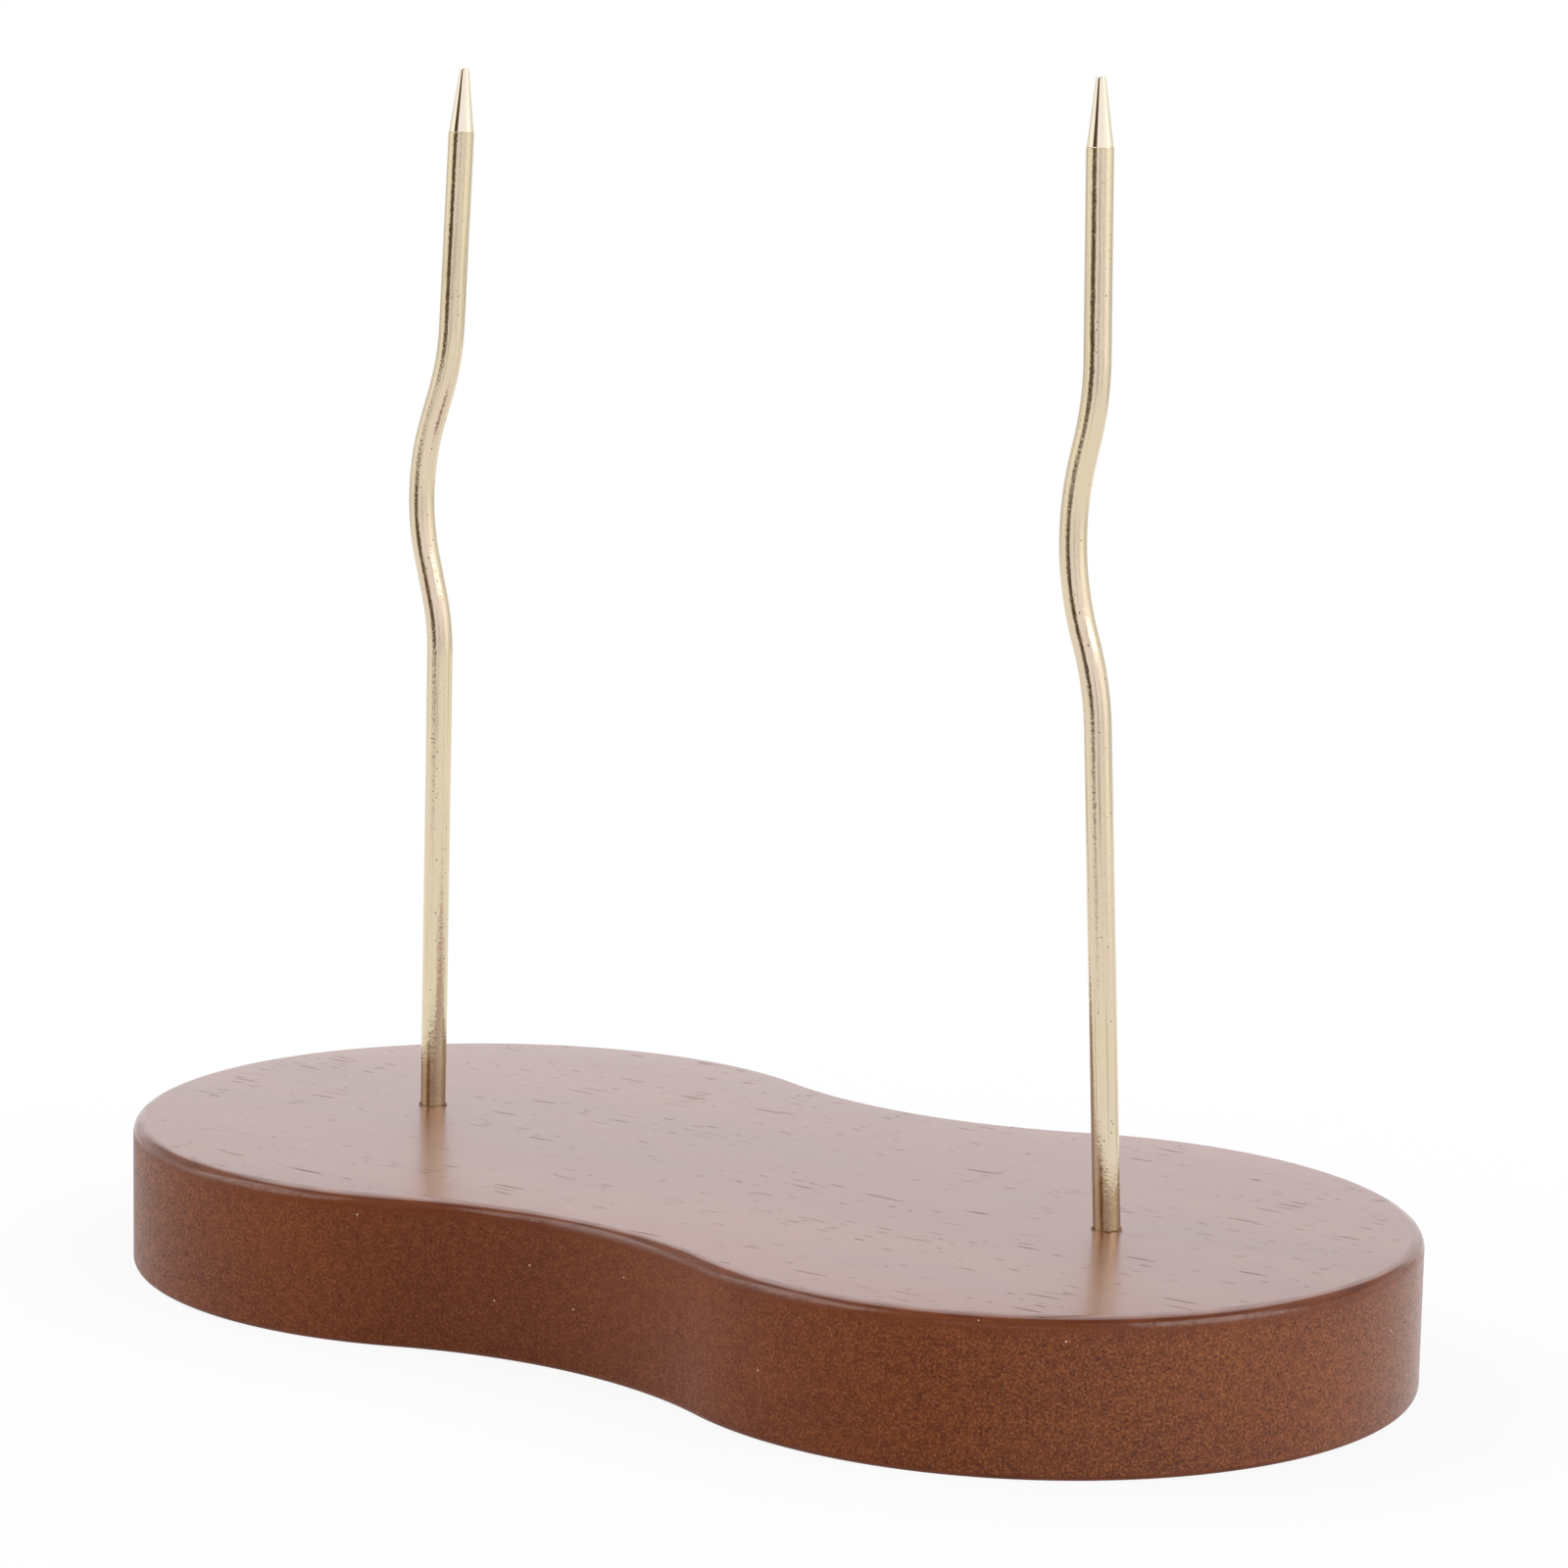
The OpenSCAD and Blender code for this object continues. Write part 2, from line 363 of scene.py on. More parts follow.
class Board:
    """Sizes of the board, the frame's levels among them, and the wavering upper edge."""

    def __init__(self, settings):
        board = settings.board
        self.outline = Outline(board)
        self.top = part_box("top_veneer")[1].z
        self.upper_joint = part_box("top_veneer")[0].z
        self.lower_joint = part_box("bottom_veneer")[1].z
        self.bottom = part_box("bottom_veneer")[0].z
        self.bottom_edge = board.bottom_edge
        turn = 2 * pi * self.outline.run / self.outline.run[-1]
        waver = sum(share * np.sin(waves * turn + phase) for share, waves, phase in EDGE_WAVES)
        self.top_edge = board.top_edge * (1 + board.edge_waver * waver)

    def upper_edge(self, tilt):
        """Rounded upper edge: at a tilt from upright its surface lies radius * (1 - sin) inside
        the outline and radius * (1 - cos) below the top."""
        drop = self.top_edge * (1 - np.cos(tilt))
        return self.band(self.top_edge * (1 - np.sin(tilt)), self.top - drop)

    def lower_edge(self, tilt):
        """Eased lower edge, the same arc turned over."""
        lift = self.bottom_edge * (1 - np.cos(tilt))
        return self.band(self.bottom_edge * (1 - np.sin(tilt)), self.bottom + lift)

    def band(self, inset, z):
        """Points all round the outline at rows of insets and heights."""
        x, y = self.outline.at(inset)
        x, y, z = np.broadcast_arrays(x, y, z)
        return np.stack([x, y, z], -1)

    def upper_tilt(self, z):
        """Tilt of the rounded upper edge where it passes a height."""
        return np.arccos(1 - (self.top - z) / self.top_edge)

    def lower_tilt(self, z):
        """Tilt of the eased lower edge where it passes a height."""
        return np.arccos(1 - (z - self.bottom) / self.bottom_edge)


def rows(start, end, count):
    """Rows of values from start to end, each of which may differ from column to column."""
    share = np.linspace(0, 1, count)[:, None]
    return start + (end - start) * share


def with_run(board, points):
    """A band with its UV: length along the outline, and height."""
    run = np.broadcast_to(board.outline.run, points.shape[:2])
    return points, np.stack([run, points[..., 2]], -1)


def half_face(board, edge, hole, side):
    """Half of a flat face, from a hole's ring out to the half outline and the middle line:
    each point lies a share of the way from the ring to the edge, seen along the same direction.
    edge is a ring of points round the outline, hole is its centre and radius."""
    middle = board.outline.middle
    rim = edge[:middle + 1] if side < 0 else edge[middle:]
    line = rim[-1] + (rim[0] - rim[-1]) * np.linspace(0, 1, MIDDLE_POINTS)[1:, None]
    loop = np.concatenate([rim, line])
    centre, radius = hole
    away = loop[:, :2] - centre
    ring = loop.copy()
    ring[:, :2] = centre + radius * away / np.linalg.norm(away, axis=1, keepdims=True)
    points = ring + (loop - ring) * np.array(FACE_SHARES)[:, None, None]
    return points, flat_uv(points)


class Socket:
    """A drilled socket, the bends of its spike, and the depths of its bore and its drill tip."""

    def __init__(self, settings, side):
        spikes = settings.spikes
        self.side = side
        self.bends = settings.left if side < 0 else settings.right
        self.lean = self.bends.lean
        self.foot = Vector((side * spikes.spacing / 2, 0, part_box("top_veneer")[1].z))
        self.rod_r = spikes.rod_r
        self.radius = spikes.rod_r + spikes.socket_gap
        name = "left_socket_glue" if side < 0 else "right_socket_glue"
        self.tip = (self.foot.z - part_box(name)[0].z) / cos(self.lean)
        self.depth = self.tip - self.radius / tan(DRILL_HALF_ANGLE)

    def hole(self, z):
        """Centre and radius of the socket at a height."""
        x = self.foot.x + (z - self.foot.z) * tan(self.lean)
        return np.array([x, self.foot.y]), self.radius

    def point_hole(self, z):
        """A hole that has closed to a point, for a face without a socket."""
        return self.hole(z)[0], 0.0

    def place(self, points):
        """Points of the socket's own frame, whose Z is the axis and whose origin is the foot."""
        turn = np.array(Matrix.Rotation(self.lean, 3, "Y"))
        return points @ turn.T + np.array(self.foot)

    def well(self, mouth):
        """The blind socket below its mouth, a ring of points: straight along the lean to the
        bottom of the bore, then in on the drill's cone to its tip."""
        floor = mouth.copy()
        floor[:, 2] = self.foot.z - self.depth * cos(self.lean)
        floor[:, 0] += (floor[:, 2] - mouth[:, 2]) * tan(self.lean)
        tip = np.broadcast_to(self.place(np.array([0, 0, -self.tip])), mouth.shape)
        points = np.stack([mouth, floor, tip])
        return points, flat_uv(points)


def core_patches(board, sockets):
    """The fibreboard: its side from joint to joint, rounded above and eased below, its two joint
    faces, and the blind sockets."""
    upper = board.upper_edge(rows(board.upper_tilt(board.upper_joint), pi / 2, ROUND_ROWS))
    lower = board.lower_edge(rows(pi / 2, board.lower_tilt(board.lower_joint), EASED_ROWS))
    wall = rows(upper[-1].reshape(-1), lower[0].reshape(-1), WALL_ROWS).reshape(WALL_ROWS, -1, 3)
    patches = [with_run(board, np.concatenate([upper, wall[1:-1], lower]))]
    for socket in sockets:
        face = half_face(board, upper[0], socket.hole(board.upper_joint), socket.side)
        under = half_face(board, lower[-1], socket.point_hole(board.lower_joint), socket.side)
        patches += [face, under, socket.well(face[0][0])]
    return patches


def top_veneer_patches(board, sockets):
    """The face veneer: its rounded rim, its two faces and the two holes."""
    rim = board.upper_edge(rows(0, board.upper_tilt(board.upper_joint), FACE_RIM_ROWS))
    patches = [with_run(board, rim)]
    for socket in sockets:
        face = half_face(board, rim[0], socket.hole(board.top), socket.side)
        under = half_face(board, rim[-1], socket.hole(board.upper_joint), socket.side)
        hole = np.stack([face[0][0], under[0][0]])
        patches += [face, under, (hole, flat_uv(hole))]
    return patches


def bottom_veneer_patches(board, sockets):
    """The balancing veneer: its eased rim and its two whole faces."""
    rim = board.lower_edge(rows(board.lower_tilt(board.lower_joint), 0, LOWER_RIM_ROWS))
    patches = [with_run(board, rim)]
    for socket in sockets:
        for edge, z in ((rim[0], board.lower_joint), (rim[-1], board.bottom)):
            patches.append(half_face(board, edge, socket.point_hole(z), socket.side))
    return patches


# The rods' surfaces

def rod_knots(spikes, socket, top_z):
    """Lengths along the rod, from its foot, where its legs and bends meet, and its heading there,
    from upright. Each leg and bend adds its own rise, and the last leg makes up what is left."""
    bends = socket.bends
    turns = np.array([-bends.out_turn, bends.crest_turn, -bends.back_turn])
    heads = bends.lean + np.append(0, np.cumsum(turns))
    legs = np.array([spikes.lower_leg, bends.out_leg, bends.back_leg])
    rise = legs * np.cos(heads[:-1]) + bends.bend_r * np.abs(np.diff(np.sin(heads)))
    last = (top_z - socket.foot.z - rise.sum()) / cos(heads[-1])
    pieces = np.stack([legs, bends.bend_r * np.abs(turns)], -1).ravel()
    knots = np.append([-socket.depth, 0], np.cumsum(np.append(pieces, last)))
    return knots, np.append(heads[0], np.repeat(heads, 2))


def rod_rings(spikes, start, end):
    """Lengths along the rod at which it has rings, and their radii: closed at both ends, even up
    the shaft, then a shoulder, a straight taper and an eased end, where the rings crowd."""
    fine = spikes.shoulder
    neck = end - spikes.point_l
    shaft = np.arange(start, neck - spikes.ring_step / 2, spikes.ring_step)
    cone = np.linspace(neck + 4 * fine, end - 6 * fine, POINT_RINGS)
    run = np.concatenate([
        shaft, [neck - fine, neck, neck + fine], cone, [end - 3 * fine, end - fine, end, end]])
    taper = (spikes.rod_r - fine - spikes.point_end_r) / spikes.point_l
    radius = np.where(run < neck, spikes.rod_r, spikes.rod_r - fine - taper * (run - neck))
    radius[-3:] = spikes.point_end_r - fine, spikes.point_end_r - 3 * fine, 0
    return np.append(start, run), np.append(0, radius)


def rod_patch(spikes, socket, top_z):
    """A circle carried along the bent rod. The rod's heading is constant on each straight leg and
    changes evenly along each bend, so its middle line is the running sum of short steps that way.
    The circle narrows along the point and closes on both ends."""
    knots, knot_heads = rod_knots(spikes, socket, top_z)
    start, end = knots[0], knots[-1]
    run, radius = rod_rings(spikes, start, end)
    step = spikes.ring_step / LINE_STEPS
    walk = np.arange(start, end + step, step)
    walk_heads = np.interp(walk, knots, knot_heads)
    lean = (walk_heads[1:] + walk_heads[:-1]) / 2
    below = socket.place(np.array([0, 0, start]))
    x = below[0] + np.interp(run, walk, np.append(0, np.cumsum(np.sin(lean) * step)))
    z = below[2] + np.interp(run, walk, np.append(0, np.cumsum(np.cos(lean) * step)))
    head = np.interp(run, knots, knot_heads)
    around = np.linspace(0, 2 * pi, ROD_SIDES + 1)
    across = radius[:, None] * np.cos(around)
    points = np.stack([
        x[:, None] + across * np.cos(head)[:, None],
        below[1] + radius[:, None] * np.sin(around),
        z[:, None] - across * np.sin(head)[:, None],
    ], -1)
    along, turn = np.meshgrid(run, around * spikes.rod_r, indexing="ij")
    return points, np.stack([turn, along], -1)


def glue_patch(socket):
    """Cured adhesive, turned round the socket's axis: up the wall from the drill's point, over a
    wet rim with a few beads, down the rod and in under its end. A bead is a bell curve round the
    rim, and the lip falls from the rod to the wall as the root of the way across."""
    around = np.linspace(0, 2 * pi, GLUE_SIDES + 1)
    beads = np.zeros_like(around)
    for at, width, height in ADHESIVE_BEADS:
        away = np.angle(np.exp(1j * (around - at)))
        beads += height * np.exp(-(away / width) ** 2)
    rim = (beads - LIP_DROP) * MM
    gap = socket.radius - socket.rod_r
    share = np.linspace(0, 1, LIP_ROWS)[:, None]
    swell = np.sin(pi * share)
    spread = np.maximum(rim, 0) * LIP_SPREAD * swell * (1 - share)
    lip_r = socket.radius - gap * share + spread
    lip_z = rim * (LIP_WALL + (1 - LIP_WALL) * np.sqrt(share)) + gap * LIP_CROWN * swell

    def ring(value):
        return np.full((1, around.size), value)

    bottom = ring(-socket.depth)
    radius = np.concatenate([ring(0.0), ring(socket.radius), lip_r, ring(socket.rod_r), ring(0.0)])
    height = np.concatenate([ring(-socket.tip), bottom, lip_z, bottom, bottom])
    points = np.stack([radius * np.cos(around), radius * np.sin(around), height], -1)
    turn = np.broadcast_to(around * socket.rod_r, radius.shape)
    return socket.place(points), np.stack([turn, height], -1)


# Materials. Patterns are scaled in cells to the metre

def operator_pair(operation):
    """A wire's operator, and its reflected form, where the wire is the second value."""
    def forward(self, other):
        return self.math(operation, self, other)

    def reflected(self, other):
        return self.math(operation, other, self)

    return forward, reflected


class Wire:
    """A socket among a material's nodes. Python's operators on it add Math nodes."""

    def __init__(self, tree, socket=None):
        self.tree = tree
        self.socket = socket

    def node(self, kind, settings=None, sockets=None, output=0):
        """Adds a node: its settings first, then its sockets' values or links. Gives one output."""
        made = self.tree.nodes.new(kind)
        for name, value in (settings or {}).items():
            setattr(made, name, value)
        for name, value in (sockets or {}).items():
            if isinstance(value, Wire):
                self.tree.links.new(value.socket, made.inputs[name])
            else:
                made.inputs[name].default_value = value
        return Wire(self.tree, made.outputs[output] if made.outputs else None)

    def math(self, operation, *values):
        """Adds a Math node that works on values or wires."""
        return self.node("ShaderNodeMath", {"operation": operation}, dict(enumerate(values)))

    __add__, __radd__ = operator_pair("ADD")
    __sub__, __rsub__ = operator_pair("SUBTRACT")
    __mul__, __rmul__ = operator_pair("MULTIPLY")
    __lt__, __gt__ = operator_pair("LESS_THAN")
    # The bar takes the larger of the two
    __or__, __ror__ = operator_pair("MAXIMUM")

    def __abs__(self):
        return self.math("ABSOLUTE", self)

    def fade(self, low, high):
        """0 below low, 1 above high, and a smooth step between them."""
        return self.node("ShaderNodeMapRange", {"interpolation_type": "SMOOTHSTEP"},
                         {"Value": self, "From Min": low, "From Max": high})

    def mixed(self, first, second):
        """The first colour where this is 0 and the second where it is 1."""
        first, second = (c if isinstance(c, Wire) else (*c, 1.0) for c in (first, second))
        return self.node("ShaderNodeMix", {"data_type": "RGBA"},
                         {0: self, 6: first, 7: second}, output=2)

    def coordinates(self, kind):
        """Coordinates of a kind: Object, UV, or Generated for directions of the world."""
        return self.node("ShaderNodeTexCoord", output=kind)

    def mapped(self, scale, turn=0.0, shift=(0, 0, 0)):
        """These coordinates, turned about Z, then scaled and shifted."""
        spun = self
        if turn:
            spun = self.node("ShaderNodeMapping", None, {"Vector": self, "Rotation": (0, 0, turn)})
        return self.node("ShaderNodeMapping", None,
                         {"Vector": spun, "Location": shift, "Scale": scale})

    def noise(self, detail=2.0, roughness=0.5):
        """Smooth noise, about one blob to each unit of these coordinates."""
        return self.node("ShaderNodeTexNoise", None,
                         {"Vector": self, "Scale": 1.0, "Detail": detail, "Roughness": roughness})

    def cells(self, dimensions="2D", output="Distance"):
        """Distance to, or random colour of, the nearest of scattered points, one to each unit."""
        return self.node("ShaderNodeTexVoronoi", {"voronoi_dimensions": dimensions},
                         {"Vector": self, "Scale": 1.0}, output=output)

    def channels(self):
        """The three parts of a colour or vector."""
        split = self.node("ShaderNodeSeparateXYZ", None, {0: self})
        return [Wire(self.tree, s) for s in split.socket.node.outputs]


def heading(x, y):
    """Direction of a point seen from above, from -Y towards +X, in radians."""
    return x.math("ARCTAN2", x, 0 - y)


def strongest(layers):
    """The largest of several layers at each point."""
    return reduce(Wire.__or__, layers)


def new_material(name):
    """An empty node material and a wire to add its nodes with."""
    material = bpy.data.materials.new(name)
    material.use_nodes = True
    material.node_tree.nodes.clear()
    return material, Wire(material.node_tree)


def finish_surface(wire, **sockets):
    """A Principled surface, whose sockets are named with underscores for spaces."""
    named = {name.replace("_", " "): value for name, value in sockets.items()}
    shader = wire.node("ShaderNodeBsdfPrincipled", None, named)
    wire.node("ShaderNodeOutputMaterial", None, {"Surface": shader})


def bumped(wire, height, depth, strength):
    """A normal bent by a height map that is depth metres from black to white."""
    return wire.node("ShaderNodeBump", None,
                     {"Strength": strength, "Distance": depth, "Height": height})


def veneer_material(finish, top):
    """Stained veneer under satin lacquer. The grain runs along X and wanders a little: soft
    streaks of stain, fine lines, and open pores as short dark dashes under thin lacquer."""
    material, wire = new_material("stained_veneer")
    place = wire.coordinates("Object")
    x, y, z = place.channels()
    drift = place.mapped((28, 60, 28)).noise(2) * 0.004
    grain = wire.node("ShaderNodeCombineXYZ", None, {0: x, 1: y + drift, 2: z})
    flat = z.fade(top - 0.12 * MM, top - 0.01 * MM)
    streak = grain.mapped((9, 70, 70)).noise(3).fade(0.3, 0.7)
    line = grain.mapped((90, 2200, 300)).noise(2).fade(0.25, 0.75)
    cloud = place.mapped((22, 30, 30), shift=(3, 1, 0)).noise(3).fade(0.3, 0.75)
    crowd = grain.mapped((18, 120, 50), shift=(0, 7, 0)).noise(3).fade(0.42, 0.62)
    ragged = grain.mapped((1100, 5000, 500)).noise(2) * 0.16 - 0.08
    dashes = []
    for spread, reach, share in PORE_LAYERS:
        spot = grain.mapped(spread, shift=(reach * 31, share * 57, 0))
        chance, size, dark = spot.cells(output="Color").channels()
        dash = 1 - (spot.cells() + ragged - reach * (0.4 + 0.6 * size)).fade(-0.05, 0.03)
        dashes.append(dash * (chance < share * (0.2 + crowd)) * (0.4 + dark * 0.6))
    pores = strongest(dashes) * flat
    smudge = place.mapped((170, 420, 1), shift=(5, 5, 0)).noise(3).fade(0.62, 0.78) * flat
    taken = streak * 0.55 + cloud * 0.3 + line * 0.15
    tone = taken.mixed(finish.deep_stain, finish.stain)
    tone = (smudge * 0.6).mixed(tone, finish.deep_stain)
    tone = (pores * 0.5).mixed(tone, finish.pore_and_gap_shade)
    wave = place.mapped((140, 190, 190)).noise(1)
    relief = wave * 0.06 + line * 0.03 - pores
    finish_surface(
        wire, Base_Color=tone, Roughness=0.5, Specular_IOR_Level=0.15,
        Coat_Weight=(1 - pores * 0.95) * (1 - smudge * 0.2), Coat_Roughness=0.24,
        Normal=bumped(wire, relief, 0.06 * MM, 0.6))
    return material


def rim_material(name, finish, lacquer):
    """Rounded edge of a veneer: end grain that drank more stain, and lacquer rubbed smooth."""
    material, wire = new_material(name)
    run = wire.coordinates("UV")
    place = wire.coordinates("Object")
    soaked = place.mapped((160, 160, 900)).noise(3).fade(0.3, 0.7)
    line = run.mapped((300, 6000, 1)).noise(2)
    tone = soaked.mixed(finish.deep_stain, finish.stain)
    tone = (line.fade(0.55, 0.7) * 0.4).mixed(tone, finish.dark_fibre)
    ripple = place.mapped((330, 330, 600)).noise(2)
    finish_surface(
        wire, Base_Color=tone, Roughness=0.5, Specular_IOR_Level=0.15,
        Coat_Weight=(0.8 + soaked * 0.2) * lacquer, Coat_Roughness=0.13,
        Normal=bumped(wire, ripple + line * 0.15, 0.03 * MM, 0.6))
    return material


def fibreboard_material(finish, top):
    """Stained edge of the fibreboard: pale and dark grains, short fibres in every direction, a few
    painted glints as pale specks, and a soft cloudiness of the stain. The waist is painted darker,
    as painted shade in the hollow, and the grain is more open towards both ends. Lacquer fills the
    grain along the rounded upper edge, sinks into the rest, and stays as a thin coat on the right
    end."""
    material, wire = new_material("stained_fibreboard")
    run = wire.coordinates("UV")
    place = wire.coordinates("Object")
    x, _, z = place.channels()
    along = abs(x)
    cloud = place.mapped((40, 40, 55)).noise(3).fade(0.3, 0.72)
    patchy = place.mapped((110, 110, 130), shift=(2, 5, 1)).noise(3)
    strands = []
    for turn in FIBRE_TURNS:
        spot = run.mapped((1100, 3800, 1), turn=turn, shift=(turn * 13, turn * 7, 0))
        chance, size, pale = spot.cells(output="Color").channels()
        strand = 1 - (spot.cells() - 0.3 * size).fade(-0.12, 0.08)
        strands.append(strand * (chance < patchy * 0.6) * (0.25 + 0.75 * pale))
    fibres = strongest(strands)
    coarse = run.mapped((850, 850, 1), shift=(4, 8, 0)).noise(3, 0.6) * 0.34 - 0.17
    pale_grain = (run.mapped((3300, 3300, 1), shift=(9, 4, 0)).noise(2) + coarse).fade(0.43, 0.7)
    dark_grain = (run.mapped((2900, 2900, 1), shift=(1, 2, 0)).noise(2) - coarse).fade(0.43, 0.7)
    # Painted glints: a few pale specks mixed into the colour
    ends = run.mapped((640, 640, 1))
    rare = ends.cells(output="Color").channels()[0] < 0.01
    painted_glints = (1 - ends.cells().fade(0.04, 0.09)) * rare
    filled = z.fade(top - 2.6 * MM, top - 1.1 * MM)
    speckle = run.mapped((1300, 2600, 1), shift=(6, 3, 0)).noise(2)
    broken = (patchy * 0.5 + speckle * 0.5).fade(0.38, 0.56)
    lacquer = 0.05 + z.fade(top - 1.45 * MM, top - 0.85 * MM) * (0.3 + broken * 0.55)
    right_end = x.fade(45 * MM, 84 * MM) * 0.36
    # Painted shade: the stain is mixed darker in the waist, where the hollow is shaded
    waist = 1 - along.fade(18 * MM, 40 * MM)
    open_grain = 0.74 + along.fade(15 * MM, 80 * MM) * 0.56
    clear = 1 - filled * 0.7
    taken = (cloud * 0.6 + patchy.fade(0.3, 0.7) * 0.4) * (1 - waist * 0.45)
    tone = taken.mixed(finish.deep_stain, finish.stain)
    tone = (dark_grain * clear * open_grain * 0.66).mixed(tone, finish.dark_fibre)
    tone = (pale_grain * clear * open_grain * 0.54).mixed(tone, finish.fibre)
    tone = (fibres * clear * 0.45).mixed(tone, finish.fibre)
    tone = (painted_glints * 0.9).mixed(tone, finish.painted_glint)
    relief = (fibres * 0.4 - dark_grain * 0.7 + pale_grain * 0.5 + painted_glints) * (1 - filled * 0.6)
    finish_surface(
        wire, Base_Color=tone, Roughness=0.36 + dark_grain * 0.14, Specular_IOR_Level=0.14,
        Coat_Weight=lacquer | right_end, Coat_Roughness=0.12,
        Normal=bumped(wire, relief, 0.02 * MM, 0.6))
    return material


def plating_material(finish, top, neck):
    """Pale gold plating over drawn rod: brown lines along the rod, a fine grain that breaks up
    reflections, and scattered pits. Near the board it is painted browner, a painted reflection of
    the stained board. Above the neck the point is turned: paler, smooth and ringed."""
    material, wire = new_material("pale_gold_plating")
    run = wire.coordinates("UV")
    place = wire.coordinates("Object")
    z = place.channels()[2]
    turned = z.fade(neck - 0.02 * MM, neck + 0.02 * MM)
    rough = 1 - turned
    # Painted reflection of the stained board: the plating is painted browner over its lowest
    # millimetres
    foot = 1 - z.fade(top + 2.5 * MM, top + 8.5 * MM)
    drawn = run.mapped((3600, 30, 1)).noise(2)
    kept = place.mapped((60, 60, 40), shift=(1, 1, 2)).noise(2).fade(0.35, 0.6)
    lines = drawn.fade(0.57, 0.68) * kept
    streak = run.mapped((800, 9, 1), shift=(3, 1, 0)).noise(2).fade(0.35, 0.65)
    grain = place.mapped((4200, 4200, 3000)).noise(2, 0.6)
    spot = place.mapped((1700, 1700, 1500))
    chance, size, _ = spot.cells("3D", "Color").channels()
    pits = (1 - (spot.cells("3D") - size * 0.12).fade(0.02, 0.14)) * (chance < 0.22) * rough
    thin = place.mapped((90, 90, 45)).noise(2).fade(0.35, 0.7)
    tone = (thin * 0.4 + streak * 0.6).mixed(finish.plating, finish.rose_plating)
    tone = (foot * (0.5 + streak * 0.25)).mixed(tone, finish.board_reflection_plating)
    tone = (lines * 0.5).mixed(tone, finish.tarnish)
    tone = turned.mixed(tone, finish.turned_plating)
    tone = (pits * 0.8).mixed(tone, finish.tarnish)
    rings = run.mapped((60, 9000, 1)).noise(1)
    wander = place.mapped((1400, 1400, 800), shift=(4, 2, 6)).noise(2)
    relief = (grain + wander * 1.2 + drawn * 0.4 - pits * 0.6) * rough
    relief = relief + turned * (rings * 0.05 + wander * 0.3)
    finish_surface(
        wire, Base_Color=tone, Metallic=1.0, Roughness=0.05 + grain * rough * 0.16,
        Normal=bumped(wire, relief, 0.02 * MM, 0.9))
    return material


def adhesive_material(finish, top):
    """Cured adhesive: painted darker down in the gap as painted shade, amber where it stands up in
    beads, and with painted highlights on their peaks."""
    material, wire = new_material("cured_adhesive")
    place = wire.coordinates("Object")
    z = place.channels()[2]
    blot = place.mapped((1800, 1800, 1800)).noise(2)
    # Painted shade in the socket's gap: the adhesive is darker the lower it lies; pale painted
    # highlights top the beads
    clear_of_gap_shade = z.fade(top - 0.04 * MM, top + 0.16 * MM)
    peak_glint = z.fade(top + 0.2 * MM, top + 0.36 * MM)
    tone = ((0.12 + clear_of_gap_shade * 0.7) * (0.5 + blot)).mixed(finish.pore_and_gap_shade, finish.adhesive)
    tone = (peak_glint * 0.8).mixed(tone, finish.painted_glint)
    finish_surface(
        wire, Base_Color=tone, Roughness=0.06 + blot * 0.16, Specular_IOR_Level=0.25,
        Normal=bumped(wire, blot, 0.04 * MM, 0.5))
    return material


# The stage

def seen_rays(wire):
    """1 for the camera's own rays, and 1 for all rays that show a surface as it is: from the
    camera, a reflection or a refraction."""
    path = wire.node("ShaderNodeLightPath")
    rays = {s.name: Wire(wire.tree, s) for s in path.socket.node.outputs}
    camera = rays["Is Camera Ray"]
    return camera, camera | rays["Is Glossy Ray"] | rays["Is Transmission Ray"]


def floor_material(finish, radius):
    """Pale floor that is plain white away from the object and keeps the object's soft shadow.
    The rods mirror it with a dim streak, a painted reflection of the tent's dark opening, which
    deepens towards that opening."""
    material, wire = new_material("pale_floor")
    place = wire.coordinates("Object")
    x, y, _ = place.channels()
    away = wire.node("ShaderNodeVectorMath", {"operation": "LENGTH"}, {0: place}, output="Value")
    off = abs(heading(x, y) - STREAK_HEADING)
    # Painted reflection: a dim streak that only mirrored rays see
    streak = away.fade(STREAK_NEAR, STREAK_FAR) * (1 - off.fade(STREAK_CORE, STREAK_RIM))
    camera, direct = seen_rays(wire)
    white = wire.node("ShaderNodeEmission", None,
                      {"Color": 1 - streak * STREAK_DEPTH * (1 - camera)})
    dull = [0.99 * v for v in finish.floor]
    tone = place.mapped((40, 40, 40)).noise(2).mixed(finish.floor, dull)
    lit = wire.node("ShaderNodeBsdfDiffuse", None, {"Color": tone})
    clear = away.fade(SHADOW_NEAR, SHADOW_FAR * radius)
    share = direct * ((1 - SHADOW_SHARE) + SHADOW_SHARE * clear)
    mixed = wire.node("ShaderNodeMixShader", None, {0: share, 1: lit, 2: white})
    wire.node("ShaderNodeOutputMaterial", None, {"Surface": mixed})
    return material


def direction(azimuth, elevation):
    """Unit vector at an azimuth from -Y towards +X, and at an elevation above the horizon."""
    return Vector((sin(azimuth) * cos(elevation), -cos(azimuth) * cos(elevation), sin(elevation)))


